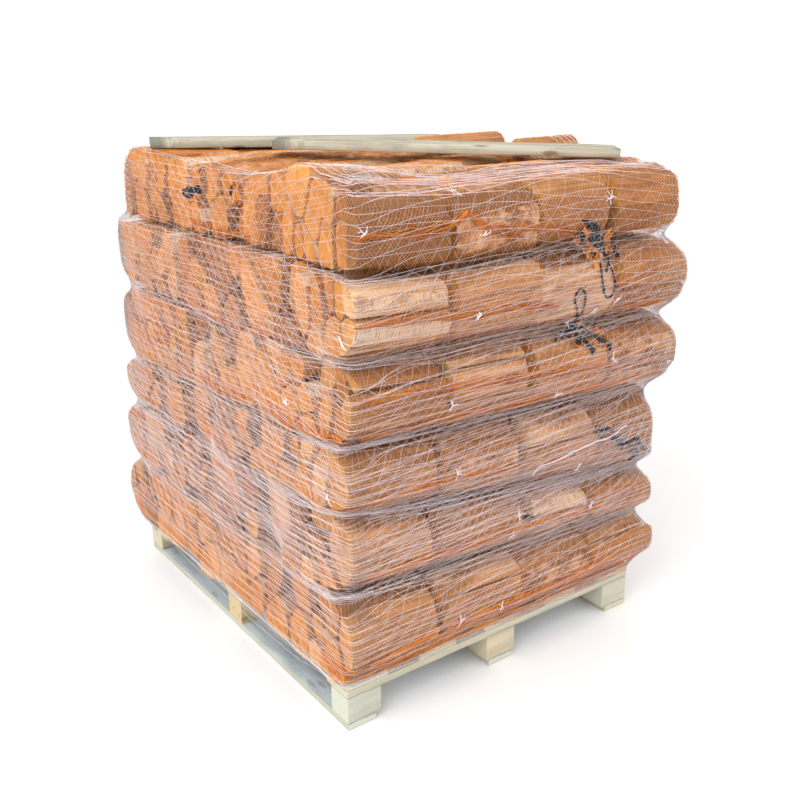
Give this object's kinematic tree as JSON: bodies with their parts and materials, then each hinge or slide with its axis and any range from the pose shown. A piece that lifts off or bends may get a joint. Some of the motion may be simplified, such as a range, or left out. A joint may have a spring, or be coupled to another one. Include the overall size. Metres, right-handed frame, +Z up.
{
  "type": "pallet load of net-bagged split birch firewood",
  "caption": "Pallet stacked with layers of split birch logs in orange net bags, wound round with white pallet net, with loose boards lying on top.",
  "frame": {"origin": "on the floor under the middle of the pallet, at the underside of the middle bottom board", "axes": "+Z up, +Y along the pallet's long side, +X along the logs; the picture is taken from the -X -Y corner"},
  "size_m": [1.1239, 1.3258, 1.3632],
  "materials": {
    "pallet_wood": "fresh sawn softwood, cream, matte",
    "birch_firewood": "split birch with papery bark, seen through orange net",
    "bag_net": "orange knitted polyethylene net, slightly shiny",
    "drawstring": "black flat drawstring",
    "pallet_net": "white knitted pallet net, slightly shiny",
    "weathered_board": "sawn board, greyed by weather, matte",
    "nail_steel": "dull steel nail heads"
  },
  "bodies": {
    "root": {"pallet_bottom_board_1": "pallet_wood", "pallet_bottom_board_2": "pallet_wood", "pallet_bottom_board_3": "pallet_wood", "pallet_block_1_1": "pallet_wood", "pallet_block_1_2": "pallet_wood", "pallet_block_1_3": "pallet_wood", "pallet_block_2_1": "pallet_wood", "pallet_block_2_2": "pallet_wood", "pallet_block_2_3": "pallet_wood", "pallet_block_3_1": "pallet_wood", "pallet_block_3_2": "pallet_wood", "pallet_block_3_3": "pallet_wood", "pallet_stringer_1": "pallet_wood", "pallet_stringer_2": "pallet_wood", "pallet_stringer_3": "pallet_wood", "pallet_deck_board_1": "pallet_wood", "pallet_deck_board_2": "pallet_wood", "pallet_deck_board_3": "pallet_wood", "pallet_deck_board_4": "pallet_wood", "pallet_deck_board_5": "pallet_wood", "bag_layer1_row1_near": "birch_firewood", "bag_layer1_row2_near": "birch_firewood", "bag_layer1_row3_near": "birch_firewood", "bag_layer1_row1_far": "birch_firewood", "bag_layer1_row2_far": "birch_firewood", "bag_layer1_row3_far": "birch_firewood", "bag_layer2_row1_near": "birch_firewood", "bag_layer2_row2_near": "birch_firewood", "bag_layer2_row3_near": "birch_firewood", "bag_layer2_row1_far": "birch_firewood", "bag_layer2_row2_far": "birch_firewood", "bag_layer2_row3_far": "birch_firewood", "bag_layer3_row1_near": "birch_firewood", "bag_layer3_row2_near": "birch_firewood", "bag_layer3_row3_near": "birch_firewood", "bag_layer3_row1_far": "birch_firewood", "bag_layer3_row2_far": "birch_firewood", "bag_layer3_row3_far": "birch_firewood", "bag_layer4_row1_near": "birch_firewood", "bag_layer4_row2_near": "birch_firewood", "bag_layer4_row3_near": "birch_firewood", "bag_layer4_row1_far": "birch_firewood", "bag_layer4_row2_far": "birch_firewood", "bag_layer4_row3_far": "birch_firewood", "bag_layer5_row1_near": "birch_firewood", "bag_layer5_row2_near": "birch_firewood", "bag_layer5_row3_near": "birch_firewood", "bag_layer5_row1_far": "birch_firewood", "bag_layer5_row2_far": "birch_firewood", "bag_layer5_row3_far": "birch_firewood", "bag_layer6_row1_near": "birch_firewood", "bag_layer6_row2_near": "birch_firewood", "bag_layer6_row3_near": "birch_firewood", "bag_layer6_row1_far": "birch_firewood", "bag_layer6_row2_far": "birch_firewood", "bag_layer6_row3_far": "birch_firewood", "pallet_net": "pallet_net", "loose_board_back": "weathered_board", "loose_board_front": "weathered_board"}
  },
  "joints": []
}
